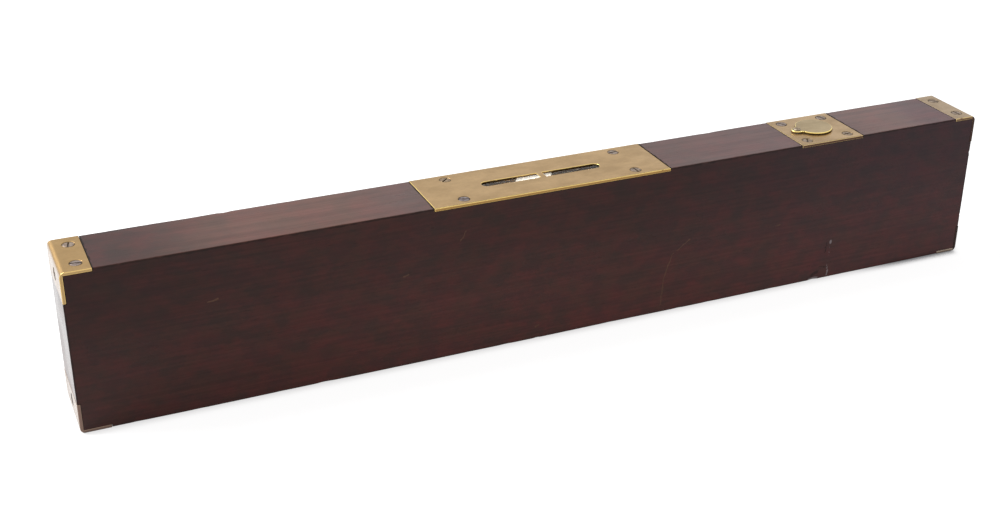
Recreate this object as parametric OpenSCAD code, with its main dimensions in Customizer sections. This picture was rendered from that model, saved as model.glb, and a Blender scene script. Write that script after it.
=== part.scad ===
// Sighting level: a mahogany spirit level with brass plates, brass tips and a mirror sight.
// Millimetres. The base stands on z = 0, the length runs along X and the sight looks out at +X.

/* [Stock] */
// Length of the stock, over the brass tips
stock_l = 457.2; // [400:0.1:700]
// Width of the stock, the same as the width of the brass on it
stock_w = 33.3; // [31:0.1:45]
// Height of the stock from its base to its top face
stock_h = 76.2; // [65:0.1:110]
// Radius of the eased long edges
arris_r = 0.4; // [0.2:0.1:1]

/* [Brass tips] */
// Thickness of the tips
tip_t = 1.5; // [1:0.1:2.5]
// Outside radius of the bend at each corner
tip_bend_r = 2.4; // [0.5:0.1:3]
// Length of the left tips along the stock
tip_leg_left = 13.3; // [11:0.1:20]
// Length of the right tips along the stock
tip_leg_right = 12; // [11:0.1:20]
// Height of every tip on the end of the stock
tip_drop = 14.2; // [11:0.1:16]
// Distance of the left tips' paired screws from the end
tip_screw_in_left = 8; // [5.5:0.1:9]
// Distance of the right tips' paired screws from the end
tip_screw_in_right = 6.3; // [5.5:0.1:8]
// Distance of the paired screws from the sides of the stock
tip_screw_edge = 7.3; // [4:0.1:8]
// Distance of the single end screw from the corner
tip_screw_drop = 7.8; // [5:0.1:8]
// Angles of the screw slots in the upper left tip: front, back and end
turns_top_left = [166, 78, 100]; // [0:1:180]
// Angles of the screw slots in the upper right tip: front, back and end
turns_top_right = [88, 50, 20]; // [0:1:180]
// Angles of the screw slots in the lower left tip: front, back and end
turns_bottom_left = [35, 120, 10]; // [0:1:180]
// Angles of the screw slots in the lower right tip: front, back and end
turns_bottom_right = [70, 15, 140]; // [0:1:180]

/* [Level plate] */
// Distance of the vial's middle from the middle of the stock, to the right
level_x = -7.6; // [-20:0.1:20]
// Thickness of the level plate and of the sight plate
plate_t = 1.5; // [1.4:0.1:2.5]
// Brass past each screw along the level plate
plate_margin = 16; // [5:0.1:20]
// Wood left between the mortise and the plate's screws
mortise_land = 1.8; // [1.5:0.1:5]
// Distance of the plate screws from the sides of the stock
plate_screw_edge = 5.1; // [4:0.1:6]
// Length of the viewing slot over both halves
slot_l = 59.8; // [40:0.1:64]
// Width of the viewing slot
slot_w = 5.3; // [4:0.1:8]
// Width of the bar left across the middle of the slot
bar_w = 2.9; // [1.5:0.1:6]
// Brass left over the groove that the vial lies in, where it is thinnest
bar_t = 0.3; // [0.3:0.05:1]
// Angles of the level plate's screw slots: left front, left back, right front and right back
turns_plate = [160, 40, 92, 10]; // [0:1:180]

/* [Vial] */
// Outside diameter of the glass vial
vial_d = 13; // [11:0.1:14]
// Length of the glass vial
vial_l = 76; // [70:0.1:90]
// Wall of the glass
vial_wall = 1; // [0.8:0.1:1.5]
// Rounding of the vial's closed end
vial_end_r = 3; // [1.8:0.1:4]
// Gap between the vial and the groove in the plate over it
vial_gap = 0.05; // [0.05:0.05:0.5]
// Length of the stopper in the open end of the vial
stopper_l = 5; // [3:0.1:8]
// Room for plaster at each end of the vial
bed_end = 2; // [1:0.1:4]
// Room for plaster at each side of the vial
bed_side = 2; // [1:0.1:3]
// Depth of plaster under the vial
bed_floor = 2; // [1:0.1:4]
// Length of the bubble
bubble_l = 22; // [12:0.1:30]
// Width of the bubble
bubble_w = 6.6; // [4:0.1:7]
// Depth of the bubble under the glass
bubble_depth = 2; // [1:0.1:2.5]
// Where the bubble stands from the middle of the vial, to the right
bubble_x = -3; // [-10:0.1:10]

/* [Sight plate and cover] */
// Distance of the sight hole from the right end of the stock
sight_in = 86.4; // [60:0.1:120]
// Length of the sight plate
sight_plate_l = 35.2; // [30:0.1:45]
// Distance of the sight plate's screws from its ends
sight_screw_in = 5.9; // [4:0.1:6]
// Angles of the sight plate's screw slots: left front, left back, right front and right back
turns_sight = [60, 120, 5, 105]; // [0:1:180]
// Diameter of the sight hole in the plate
sight_hole_d = 12; // [8:0.1:13]
// Radius of the cover's disc
cover_r = 9.2; // [8:0.1:10.5]
// Thickness of the cover
cover_t = 0.8; // [0.5:0.05:1.5]
// How far the cover stands turned from square over the hole
cover_turn = 4; // [-30:1:30]
// Radius of the cover's lug round its pivot
lug_r = 2.9; // [2.5:0.1:4]
// Distance of the pivot from the centre of the sight hole
pivot_in = 10.2; // [9.6:0.1:12]
// Radius of the hollow on each side of the lug
neck_r = 2; // [1:0.1:4]
// Radius of the pivot screw's plain shoulder
shoulder_r = 1.15; // [0.8:0.05:1.4]
// Radius of the pivot screw's head
pivot_head_r = 1.75; // [1.7:0.05:2.2]
// Height of the pivot screw's head
pivot_head_h = 0.4; // [0.3:0.1:1.5]
// Width of the slot in the pivot screw's head
pivot_slot_w = 0.55; // [0.3:0.05:0.8]
// Angle of the slot in the pivot screw's head
pivot_turn = 70; // [0:1:180]
// Radius of the pivot screw's threaded end
pivot_thread_r = 0.9; // [0.6:0.05:1]
// Length of the threaded end below the top face
pivot_thread_l = 4.5; // [3:0.1:8]
// Thickness of the washer between the cover and the plate
washer_t = 0.35; // [0.2:0.05:0.8]
// Radius of the washer
washer_r = 2.2; // [1.8:0.05:2.4]

/* [Sight line] */
// Depth of the sight line below the top face
sight_drop = 28.2; // [26:0.1:36]
// Length and depth of the mirror chamber about the sight line
chamber_l = 16.4; // [15:0.1:17]
// Width of the mirror chamber
chamber_w = 15.6; // [14:0.1:18]
// Length of the mirror down its slope
mirror_l = 18; // [12:0.1:19]
// Width of the mirror
mirror_w = 14; // [10:0.1:14]
// Thickness of the mirror
mirror_t = 1.6; // [1:0.1:2.4]
// Outside diameter of the sight tube
tube_d = 12; // [10:0.1:13]
// Wall of the sight tube
tube_wall = 0.8; // [0.5:0.1:1.2]
// Thickness of the hair ring
ring_t = 1.6; // [1:0.1:3]
// Diameter of the opening in the hair ring
ring_hole_d = 9; // [7:0.1:9]
// Diameter of each hair
hair_d = 0.2; // [0.1:0.05:0.4]
// Thickness of the glass behind the bush
sight_glass_t = 1.2; // [0.8:0.1:2]
// Diameter of the bush on the right end
bush_d = 16; // [15:0.1:18]
// Thickness of the bush
bush_t = 1.6; // [1:0.1:3]
// Diameter of the opening in the bush
bush_hole_d = 8.4; // [6:0.1:9]

/* [Wood screws] */
// Diameter of the countersunk heads
head_d = 5.4; // [4.5:0.1:6]
// Diameter of the shanks
shank_d = 2.8; // [2.4:0.1:3]
// Length of the screws
screw_l = 12; // [9:0.1:16]
// Length of the pointed end
point_l = 3; // [1:0.1:5]
// Width of the slots in the heads
screw_slot_w = 0.8; // [0.5:0.1:1]
// Depth of the slots in the heads
screw_slot_h = 0.6; // [0.3:0.1:0.8]

/* [Fits] */
// Line between brass let into the wood and the wood at its ends
inlay_gap = 0.2; // [0.05:0.05:0.3]
// How far the screw heads lie below the brass
head_sink = 0.05; // [0.02:0.01:0.1]
// Gap round pieces that are set in bores or seats
fit_gap = 0.05; // [0.02:0.01:0.08]
// Radial running gap between the cover and its pivot
run_gap = 0.05; // [0.02:0.01:0.1]
// Gap over and under the cover
cover_gap = 0.05; // [0.03:0.01:0.1]
// Gap between the bubble and the spirit and glass round it
bubble_gap = 0.2; // [0.1:0.05:0.3]

/* [Hidden] */

$fn = 64;

// How far a cutting shape runs past the face that it opens
over = 1;
left = -1;
right = 1;
top = 1;
bottom = -1;

wood_colour = "#4a302b";
brass_colour = "#b89a68";
screw_colour = "#7d7260";
glass_colour = "#c9d6cf";

end_x = stock_l / 2;
side_y = stock_w / 2;
plate_z = stock_h - plate_t;
head_r = head_d / 2;
shank_r = shank_d / 2;

// Level plate and vial
mortise_l = vial_l + 2 * bed_end;
mortise_w = vial_d + 2 * bed_side;
plate_screw_x = mortise_l / 2 + mortise_land + shank_r;
plate_l = 2 * (plate_screw_x + plate_margin);
plate_screw_y = side_y - plate_screw_edge;
groove_r = vial_d / 2 + vial_gap;
groove_l = vial_l + 2 * vial_gap;
vial_z = stock_h - bar_t - groove_r;
mortise_z = vial_z - vial_d / 2 - bed_floor;
bore_r = vial_d / 2 - vial_wall;
spirit_r = bore_r - fit_gap;
spirit_left = -vial_l / 2 + vial_wall + fit_gap;
spirit_right = vial_l / 2 - stopper_l - fit_gap;
bubble_r = bore_r - bubble_gap;
bubble_z = vial_z + bore_r - bubble_depth;
channel_left = spirit_left + vial_end_r;
channel_right = spirit_right - vial_end_r;

// Sight plate, cover and pivot
sight_x = end_x - sight_in;
sight_z = stock_h - sight_drop;
sight_screw_x = sight_plate_l / 2 - sight_screw_in;
pivot_x = sight_x - pivot_in;
cover_z = stock_h + washer_t + cover_gap;
pivot_head_z = cover_z + cover_t + cover_gap;
// Small step where each hollow meets the disc and the lug
neck_step = 0.05;

// Sight line
tube_r = tube_d / 2;
chamber_x = sight_x + chamber_l / 2;
chamber_z = sight_z - chamber_l / 2;
bush_x = end_x - bush_t;
sight_glass_x = bush_x - sight_glass_t;
ring_x = sight_glass_x - ring_t;
// Sum of x and z along the mirror's back, which lies at 45 degrees
mirror_back = sight_x + sight_z - mirror_t * sqrt(2);

// A rectangle centred on its origin with its corners rounded to arcs
module rounded_rect(w, h, r) {
    square([w - 2 * r, h], center = true);
    square([w, h - 2 * r], center = true);
    for (x = [-1, 1], y = [-1, 1])
        translate([x * (w / 2 - r), y * (h / 2 - r)])
            circle(r);
}

// The whole outside of the level, to which the wood and the brass are both finished
module outside() {
    intersection() {
        translate([-end_x, 0, stock_h / 2])
            rotate([90, 0, 90])
                linear_extrude(stock_l)
                    rounded_rect(stock_w, stock_h, arris_r);
        translate([0, side_y, stock_h / 2])
            rotate([90, 0, 0])
                linear_extrude(stock_w)
                    rounded_rect(stock_l, stock_h, tip_bend_r);
    }
}

// Countersunk wood screw with the middle of its head at the origin, pointing down
module wood_screw(turn) {
    difference() {
        rotate_extrude()
            polygon([
                [0, -head_sink],
                [head_r, -head_sink],
                [shank_r, -head_sink - head_r + shank_r],
                [shank_r, point_l - screw_l],
                [0, -screw_l]
            ]);
        rotate(turn)
            translate([0, 0, -head_sink])
                cube([head_d + over, screw_slot_w, 2 * screw_slot_h], center = true);
    }
}

// Hole for one wood screw, through brass and into the wood under it
module screw_hole() {
    rotate_extrude()
        polygon([
            [0, over],
            [head_r + fit_gap, over],
            [head_r + fit_gap, -head_sink],
            [shank_r + fit_gap, -head_sink - head_r + shank_r],
            [shank_r + fit_gap, -screw_l - fit_gap],
            [0, -screw_l - fit_gap]
        ]);
}

// Sets its children at one of the four corners, drawn for the upper left one
module at_corner(side, level) {
    translate([0, 0, level == top ? 0 : stock_h])
        mirror([0, 0, level == top ? 0 : 1])
            mirror([side == left ? 0 : 1, 0, 0])
                children();
}

// The space of one tip, over long and over wide where it comes to the outside
module tip_space(leg, gap) {
    translate([-end_x - over, -side_y - over, stock_h - tip_t])
        cube([leg + gap + over, stock_w + 2 * over, tip_t + over]);
    translate([-end_x - over, -side_y - over, stock_h - tip_drop - gap])
        cube([tip_t + over, stock_w + 2 * over, tip_drop + gap + over]);
}

// Sets screws or screw holes in one tip, front and back along the stock and one in the end.
// $screw counts them from 0.
module at_tip_screws(screw_in) {
    for ($screw = [0, 1])
        translate([-end_x + screw_in, (2 * $screw - 1) * (side_y - tip_screw_edge), stock_h])
            children();
    for ($screw = [2])
        translate([-end_x, 0, stock_h - tip_screw_drop])
            rotate([0, -90, 0])
                children();
}

module tip(side, level) {
    leg = side == left ? tip_leg_left : tip_leg_right;
    screw_in = side == left ? tip_screw_in_left : tip_screw_in_right;
    color(brass_colour)
        difference() {
            intersection() {
                outside();
                at_corner(side, level)
                    tip_space(leg, 0);
            }
            at_corner(side, level)
                at_tip_screws(screw_in)
                    screw_hole();
        }
}

module tip_screws(side, level, turns) {
    screw_in = side == left ? tip_screw_in_left : tip_screw_in_right;
    color(screw_colour)
        at_corner(side, level)
            at_tip_screws(screw_in)
                wood_screw(turns[$screw]);
}

// Sets the four screws or screw holes of a plate about its middle. $screw counts them from 0:
// left front, left back, right front and right back.
module at_four(middle_x, half_x) {
    for ($screw = [0:3])
        translate([
            middle_x + (2 * floor($screw / 2) - 1) * half_x,
            (2 * ($screw % 2) - 1) * plate_screw_y,
            stock_h
        ])
            children();
}

module at_plate_screws() {
    at_four(level_x, plate_screw_x)
        children();
}

module at_sight_screws() {
    at_four(sight_x, sight_screw_x)
        children();
}

// The space of a plate that crosses the top face, over wide and over high
module plate_space(x, l) {
    translate([x - l / 2, -side_y - over, plate_z])
        cube([l, stock_w + 2 * over, plate_t + over]);
}

// Bore or shape about an axis along X, from one x to another, at a height z
module along_x(x, l, r, z) {
    translate([x, 0, z])
        rotate([0, 90, 0])
            cylinder(h = l, r = r);
}

module stock() {
    color(wood_colour)
        difference() {
            outside();
            for (level = [top, bottom]) {
                at_corner(left, level) {
                    tip_space(tip_leg_left, inlay_gap);
                    at_tip_screws(tip_screw_in_left)
                        screw_hole();
                }
                at_corner(right, level) {
                    tip_space(tip_leg_right, inlay_gap);
                    at_tip_screws(tip_screw_in_right)
                        screw_hole();
                }
            }
            plate_space(level_x, plate_l + 2 * inlay_gap);
            plate_space(sight_x, sight_plate_l + 2 * inlay_gap);
            at_plate_screws()
                screw_hole();
            at_sight_screws()
                screw_hole();
            // Mortise for the vial
            translate([level_x - mortise_l / 2, -mortise_w / 2, mortise_z])
                cube([mortise_l, mortise_w, plate_z - mortise_z + over]);
            // Mirror chamber, sight bore and the seat of the bush
            translate([sight_x - chamber_l / 2, -chamber_w / 2, chamber_z])
                cube([chamber_l, chamber_w, plate_z - chamber_z + over]);
            along_x(sight_x, end_x - sight_x + over, tube_r + fit_gap, sight_z);
            along_x(bush_x, bush_t + over, bush_d / 2 + fit_gap, sight_z);
            // Hole for the end of the pivot screw
            translate([pivot_x, 0, stock_h - pivot_thread_l - fit_gap])
                cylinder(h = pivot_thread_l + over, r = pivot_thread_r + fit_gap);
        }
}

// The two halves of the viewing slot, round at the outer ends and square at the bar
module slot_outline() {
    difference() {
        union() {
            square([slot_l - slot_w, slot_w], center = true);
            for (x = [-1, 1])
                translate([x * (slot_l - slot_w) / 2, 0])
                    circle(d = slot_w);
        }
        square([bar_w, slot_w + 2 * over], center = true);
    }
}

module top_plate() {
    color(brass_colour)
        difference() {
            intersection() {
                outside();
                plate_space(level_x, plate_l);
            }
            translate([level_x, 0, plate_z - over])
                linear_extrude(plate_t + 2 * over)
                    slot_outline();
            along_x(level_x - groove_l / 2, groove_l, groove_r, vial_z);
            at_plate_screws()
                screw_hole();
        }
}

module top_plate_screws() {
    color(screw_colour)
        at_plate_screws()
            wood_screw(turns_plate[$screw]);
}

// Half section of the vial's glass or bore, with its closed end down and rounded
module vial_half(r, low, high, end_r) {
    translate([0, low + end_r])
        square([r, high - low - end_r]);
    translate([0, low])
        square([r - end_r, end_r + over]);
    intersection() {
        translate([r - end_r, low + end_r])
            circle(end_r);
        translate([0, low])
            square(r);
    }
}

// A solid about the vial's axis, made from its half section
module about_vial() {
    translate([level_x, 0, vial_z])
        rotate([0, 90, 0])
            rotate_extrude()
                children();
}

module vial_bed() {
    color("#cfc7b6")
        difference() {
            translate([level_x - mortise_l / 2, -mortise_w / 2, mortise_z])
                cube([mortise_l, mortise_w, vial_z - mortise_z]);
            about_vial()
                vial_half(vial_d / 2 + fit_gap, -vial_l / 2 - fit_gap, vial_l / 2 + fit_gap, vial_end_r);
        }
}

module vial_glass() {
    color(glass_colour, 0.5)
        about_vial()
            difference() {
                vial_half(vial_d / 2, -vial_l / 2, vial_l / 2, vial_end_r);
                vial_half(bore_r, -vial_l / 2 + vial_wall, vial_l / 2 + over, vial_end_r - vial_wall);
            }
}

module vial_stopper() {
    color("#8a6a4a")
        along_x(level_x + vial_l / 2 - stopper_l, stopper_l, spirit_r, vial_z);
}

// A slot-shaped block with round ends, from one x to another, that cuts the top of the bore
module bubble_block(low, high, w, z) {
    translate([level_x, 0, z])
        linear_extrude(vial_z + bore_r + over - z) {
            translate([low + w / 2, -w / 2])
                square([high - low - w, w]);
            for (x = [low + w / 2, high - w / 2])
                translate([x, 0])
                    circle(d = w);
        }
}

module vial_spirit() {
    color("#d8c98a", 0.6)
        difference() {
            about_vial()
                vial_half(spirit_r, spirit_left, spirit_right, vial_end_r - vial_wall);
            bubble_block(channel_left, channel_right, bubble_w + 2 * bubble_gap, bubble_z - bubble_gap);
        }
}

module vial_bubble() {
    color("#eef4f2", 0.7)
        intersection() {
            along_x(level_x - vial_l / 2, vial_l, bubble_r, vial_z);
            bubble_block(bubble_x - bubble_l / 2, bubble_x + bubble_l / 2, bubble_w, bubble_z);
        }
}

module sight_plate() {
    color(brass_colour)
        difference() {
            intersection() {
                outside();
                plate_space(sight_x, sight_plate_l);
            }
            translate([sight_x, 0, plate_z - over])
                cylinder(h = plate_t + 2 * over, d = sight_hole_d);
            translate([pivot_x, 0, plate_z - over])
                cylinder(h = plate_t + 2 * over, r = pivot_thread_r + fit_gap);
            at_sight_screws()
                screw_hole();
        }
}

module sight_plate_screws() {
    color(screw_colour)
        at_sight_screws()
            wood_screw(turns_sight[$screw]);
}

// Outline of the web between the cover's lug and its disc, with hollow sides
module cover_web() {
    // Centre of each hollow, which all but touches the disc and the lug
    disc_reach = cover_r + neck_r;
    lug_reach = lug_r + neck_r;
    neck_x = (pow(lug_reach, 2) - pow(disc_reach, 2) + pow(pivot_in, 2)) / (2 * pivot_in);
    neck_y = sqrt(pow(lug_reach, 2) - pow(neck_x, 2));
    difference() {
        polygon([[0, 0], [neck_x, neck_y], [pivot_in, 0], [neck_x, -neck_y]]);
        for (y = [-1, 1])
            translate([neck_x, y * neck_y])
                circle(neck_r - neck_step);
    }
}

module sight_cover() {
    color(brass_colour)
        difference() {
            translate([pivot_x, 0, cover_z])
                rotate(cover_turn) {
                    cylinder(h = cover_t, r = lug_r);
                    translate([pivot_in, 0, 0])
                        cylinder(h = cover_t, r = cover_r);
                    linear_extrude(cover_t)
                        cover_web();
                }
            translate([pivot_x, 0, cover_z - over])
                cylinder(h = cover_t + 2 * over, r = shoulder_r + run_gap);
        }
}

module cover_pivot_screw() {
    color(screw_colour)
        translate([pivot_x, 0, stock_h])
            difference() {
                rotate_extrude()
                    polygon([
                        [0, -pivot_thread_l],
                        [pivot_thread_r, -pivot_thread_l],
                        [pivot_thread_r, 0],
                        [shoulder_r, 0],
                        [shoulder_r, pivot_head_z - stock_h],
                        [pivot_head_r, pivot_head_z - stock_h],
                        [pivot_head_r, pivot_head_z - stock_h + pivot_head_h / 2],
                        [pivot_head_r - pivot_head_h / 2, pivot_head_z - stock_h + pivot_head_h],
                        [0, pivot_head_z - stock_h + pivot_head_h]
                    ]);
                rotate(pivot_turn)
                    translate([0, 0, pivot_head_z - stock_h + pivot_head_h])
                        cube([2 * pivot_head_r + over, pivot_slot_w, pivot_head_h], center = true);
            }
}

module cover_washer() {
    color(screw_colour)
        translate([pivot_x, 0, stock_h])
            difference() {
                cylinder(h = washer_t, r = washer_r);
                translate([0, 0, -over])
                    cylinder(h = washer_t + 2 * over, r = shoulder_r + run_gap);
            }
}

// Wedge glued in the chamber under the mirror
module mirror_block() {
    color("#6d4a34")
        translate([0, chamber_w / 2, 0])
            rotate([90, 0, 0])
                linear_extrude(chamber_w)
                    polygon([
                        [sight_x - chamber_l / 2, chamber_z],
                        [mirror_back - chamber_z, chamber_z],
                        [sight_x - chamber_l / 2, mirror_back - sight_x + chamber_l / 2]
                    ]);
}

// Mirror at 45 degrees, with its silvered front through the crossing of the sight line
module sight_mirror() {
    color("#dfe6e8")
        translate([sight_x, 0, sight_z])
            rotate([0, 45, 0])
                translate([-mirror_l / 2, -mirror_w / 2, -mirror_t])
                    cube([mirror_l, mirror_w, mirror_t]);
}

module sight_tube() {
    color(brass_colour)
        difference() {
            along_x(chamber_x, ring_x - chamber_x, tube_r, sight_z);
            along_x(chamber_x - over, ring_x - chamber_x + 2 * over, tube_r - tube_wall, sight_z);
        }
}

// Cross of two hairs, of a given diameter and over all length
module hair_cross(d, l) {
    translate([ring_x + ring_t / 2, 0, sight_z])
        for (turn = [0, 90])
            rotate([turn, 0, 0])
                cylinder(h = l, d = d, center = true);
}

module hair_ring() {
    color(brass_colour)
        difference() {
            along_x(ring_x, ring_t, tube_r, sight_z);
            along_x(ring_x - over, ring_t + 2 * over, ring_hole_d / 2, sight_z);
            hair_cross(hair_d + 2 * fit_gap, ring_hole_d + tube_r - ring_hole_d / 2);
        }
}

module cross_hairs() {
    color("#2b2b2b")
        hair_cross(hair_d, ring_hole_d + (tube_r - ring_hole_d / 2) / 2);
}

module sight_glass() {
    color(glass_colour, 0.5)
        along_x(sight_glass_x, sight_glass_t, tube_r, sight_z);
}

module end_bush() {
    color(brass_colour)
        difference() {
            along_x(bush_x, bush_t, bush_d / 2, sight_z);
            along_x(bush_x - over, bush_t + 2 * over, bush_hole_d / 2, sight_z);
        }
}

module tip_top_left() {
    tip(left, top);
}

module tip_top_right() {
    tip(right, top);
}

module tip_bottom_left() {
    tip(left, bottom);
}

module tip_bottom_right() {
    tip(right, bottom);
}

module tip_top_left_screws() {
    tip_screws(left, top, turns_top_left);
}

module tip_top_right_screws() {
    tip_screws(right, top, turns_top_right);
}

module tip_bottom_left_screws() {
    tip_screws(left, bottom, turns_bottom_left);
}

module tip_bottom_right_screws() {
    tip_screws(right, bottom, turns_bottom_right);
}

stock();
top_plate();
top_plate_screws();
vial_bed();
vial_glass();
vial_stopper();
vial_spirit();
vial_bubble();
sight_plate();
sight_plate_screws();
sight_cover();
cover_pivot_screw();
cover_washer();
mirror_block();
sight_mirror();
sight_tube();
hair_ring();
cross_hairs();
sight_glass();
end_bush();
tip_top_left();
tip_top_right();
tip_bottom_left();
tip_bottom_right();
tip_top_left_screws();
tip_top_right_screws();
tip_bottom_left_screws();
tip_bottom_right_screws();
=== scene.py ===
# %% [markdown]
# # A sighting level in mahogany and brass
# This notebook dresses a measured model of an old builder's level. The real one is a single
# block of mahogany. Brass is let into it flush: a slotted plate over the glass vial, a small
# plate with a swivelling cover over the sight hole, and an angle of brass on each corner.
# The measured model already holds every piece at its true size, so nothing here is moved.
# Each step adds what a century of use leaves behind: eased corners, bruises, dirt and shine, and
# some painted shade and highlights as well.

import math
import random
from functools import partial

import bmesh
import bpy
import numpy as np
from mathutils import Matrix, Vector, noise


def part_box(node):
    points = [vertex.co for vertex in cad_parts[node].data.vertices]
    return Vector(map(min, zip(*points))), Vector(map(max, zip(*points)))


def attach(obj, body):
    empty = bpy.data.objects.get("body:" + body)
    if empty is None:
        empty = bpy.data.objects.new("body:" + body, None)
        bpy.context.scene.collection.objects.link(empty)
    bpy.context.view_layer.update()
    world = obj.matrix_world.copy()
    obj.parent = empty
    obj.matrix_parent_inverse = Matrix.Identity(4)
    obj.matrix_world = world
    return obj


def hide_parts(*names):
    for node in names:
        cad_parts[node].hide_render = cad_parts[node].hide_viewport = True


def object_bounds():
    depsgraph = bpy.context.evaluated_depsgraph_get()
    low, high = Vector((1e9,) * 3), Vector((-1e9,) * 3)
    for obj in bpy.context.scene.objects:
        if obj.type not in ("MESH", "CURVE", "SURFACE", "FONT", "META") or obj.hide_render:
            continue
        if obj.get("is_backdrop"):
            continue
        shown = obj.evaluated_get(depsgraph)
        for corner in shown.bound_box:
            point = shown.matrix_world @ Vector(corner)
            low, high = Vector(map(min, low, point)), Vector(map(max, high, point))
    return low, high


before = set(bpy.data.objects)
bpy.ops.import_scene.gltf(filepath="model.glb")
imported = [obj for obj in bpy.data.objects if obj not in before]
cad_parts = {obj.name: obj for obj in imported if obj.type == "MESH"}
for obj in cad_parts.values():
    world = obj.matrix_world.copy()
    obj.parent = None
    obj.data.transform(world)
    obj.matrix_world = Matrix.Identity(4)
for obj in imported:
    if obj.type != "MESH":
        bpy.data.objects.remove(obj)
cad_low, cad_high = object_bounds()
scene = bpy.context.scene
MM = 0.001
SEED = 11
draw = random.Random(SEED)
# Without a seed, the noise that shoves points about is another one each time
noise.seed_set(SEED)
print("nodes:", len(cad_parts),
      "box in mm:", [round(v / MM, 1) for v in (*cad_low, *cad_high)])

# %% [markdown]
# ## The camera
# A photograph fixes its camera: where it stood, where it looked and how long its lens was.
# Its three angles are kept apart, so that each can be checked by eye: heading, tilt and roll.

# %% Set the camera
CAMERA_PLACE = (-0.28127, -0.57987, 0.35152)
HEADING = 23.582
TILT_DOWN = 26.446
ROLL = 0.352
LENS = 54.207
FILM_WIDTH = 36.0

data = bpy.data.cameras.new("camera")
data.sensor_width = FILM_WIDTH
data.lens = LENS
camera = bpy.data.objects.new("camera", data)
scene.collection.objects.link(camera)
turn = Matrix.Rotation(math.radians(-HEADING), 4, "Z")
tilt = Matrix.Rotation(math.radians(90 - TILT_DOWN), 4, "X")
roll = Matrix.Rotation(math.radians(ROLL), 4, "Z")
camera.matrix_world = Matrix.Translation(CAMERA_PLACE) @ turn @ tilt @ roll
scene.camera = camera
look = camera.matrix_world.to_3x3() @ Vector((0, 0, -1))
print("camera looks along", [round(v, 3) for v in look])

# %% [markdown]
# ## Small helpers for shader nodes
# Every finish below is a handful of nodes. These helpers make one node per line, so that a
# material reads like a recipe. One node tree is open at a time, and each helper adds to that
# one. A value that is a socket is linked, any other value is set.

# %% Helpers for shader nodes
def open_tree(new_tree):
    """Opens a node tree for put(), and empties it."""
    global tree
    tree = new_tree
    tree.nodes.clear()


def put(kind, inputs=None, **settings):
    """Adds a node and gives its outputs. A colour is written without its alpha."""
    node = tree.nodes.new("ShaderNode" + kind)
    for name, value in settings.items():
        setattr(node, name, value)
    for label, value in (inputs or {}).items():
        socket = node.inputs[label]
        if isinstance(value, bpy.types.NodeSocket):
            tree.links.new(value, socket)
        else:
            socket.default_value = (*value, 1) if socket.type == "RGBA" else value
    return node.outputs


def calc(operation, a, b=0.0):
    return put("Math", {0: a, 1: b}, operation=operation)[0]


times, over, plus, minus, most = (
    partial(calc, operation) for operation in ("MULTIPLY", "DIVIDE", "ADD", "SUBTRACT", "MAXIMUM")
)


def total(value, *others):
    """A value plus others, each of which comes with the share of it that is added."""
    for other, share in others:
        value = plus(value, times(other, share))
    return value


def blend(factor, a, b, how="MIX"):
    """Goes from colour a to b by a factor, or multiplies a by b, or adds b, to that degree."""
    return put("Mix", {0: factor, 6: a, 7: b}, data_type="RGBA", blend_type=how)[2]


def paint(colour, *layers):
    """Lays other colours over. Each layer has its colour, its mask and perhaps a share of it."""
    for other, mask, *share in layers:
        colour = blend(times(mask, *share) if share else mask, colour, other)
    return colour


def scaled(values, by):
    return tuple(value * by for value in values)


def fade(value, low, high, to_low=0.0, to_high=1.0):
    """A smooth step from to_low to to_high as the value goes from low to high."""
    sockets = {0: value, 1: low, 2: high, 3: to_low, 4: to_high}
    return put("MapRange", sockets, interpolation_type="SMOOTHSTEP")[0]


def vector(operation, a, b, output=0):
    return put("VectorMath", {0: a, 1: b}, operation=operation)[output]


def clouds(place, by=None, detail=2.0, rough=0.5, scale=1.0):
    """Noise, where its place can be multiplied by a number for each axis first."""
    place = vector("MULTIPLY", place, by) if by else place
    sockets = {"Vector": place, "Scale": scale, "Detail": detail, "Roughness": rough}
    return put("TexNoise", sockets)[0]


def place_on():
    """Where a point lies on the level, in metres."""
    return put("TexCoord")["Object"]


def split(place):
    return put("SeparateXYZ", {0: place})


def facing(axis):
    """How squarely a surface faces along an axis of the level: 0 is X, 1 is Y and 2 is Z."""
    part = split(put("NewGeometry")["Normal"])[axis]
    return fade(calc("ABSOLUTE", part), 0.75, 0.95)


def held(name):
    """A number that the mesh holds."""
    return put("Attribute", attribute_name=name)["Fac"]


def bump(height, depth, strength=1.0):
    """The normal of a bumpy skin, its depth in millimetres."""
    sockets = {"Height": height, "Distance": depth * MM, "Strength": strength}
    return put("Bump", sockets)[0]


def new_group(name, **inputs):
    """Opens a group that has these inputs."""
    open_tree(bpy.data.node_groups.new(name, "ShaderNodeTree"))
    for label, value in inputs.items():
        kind = "NodeSocketVector" if isinstance(value, tuple) else "NodeSocketFloat"
        tree.interface.new_socket(label, in_out="INPUT", socket_type=kind).default_value = value
    return tree.nodes.new("NodeGroupInput").outputs


def give(**outputs):
    """Closes the open group with these outputs."""
    for label in outputs:
        tree.interface.new_socket(label, in_out="OUTPUT", socket_type="NodeSocketFloat")
    end = tree.nodes.new("NodeGroupOutput").inputs
    for label, value in outputs.items():
        tree.links.new(value, end[label])
    return tree


def use(group, **inputs):
    """What a group gives out: its only output, or all of them in order."""
    outputs = put("Group", inputs, node_tree=group)
    return outputs if len(outputs) > 1 else outputs[0]


def surface(**inputs):
    """The main shader. In the name of an input _ stands for a space."""
    sockets = {name.replace("_", " "): value for name, value in inputs.items()}
    return put("BsdfPrincipled", sockets)[0]


def material_of(name, recipe, *values, **options):
    """A material. Its recipe is a function that puts the nodes and returns the shader."""
    material = bpy.data.materials.new(name)
    material.use_nodes = True
    open_tree(material.node_tree)
    put("OutputMaterial", {0: recipe(*values, **options)})
    return material
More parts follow.
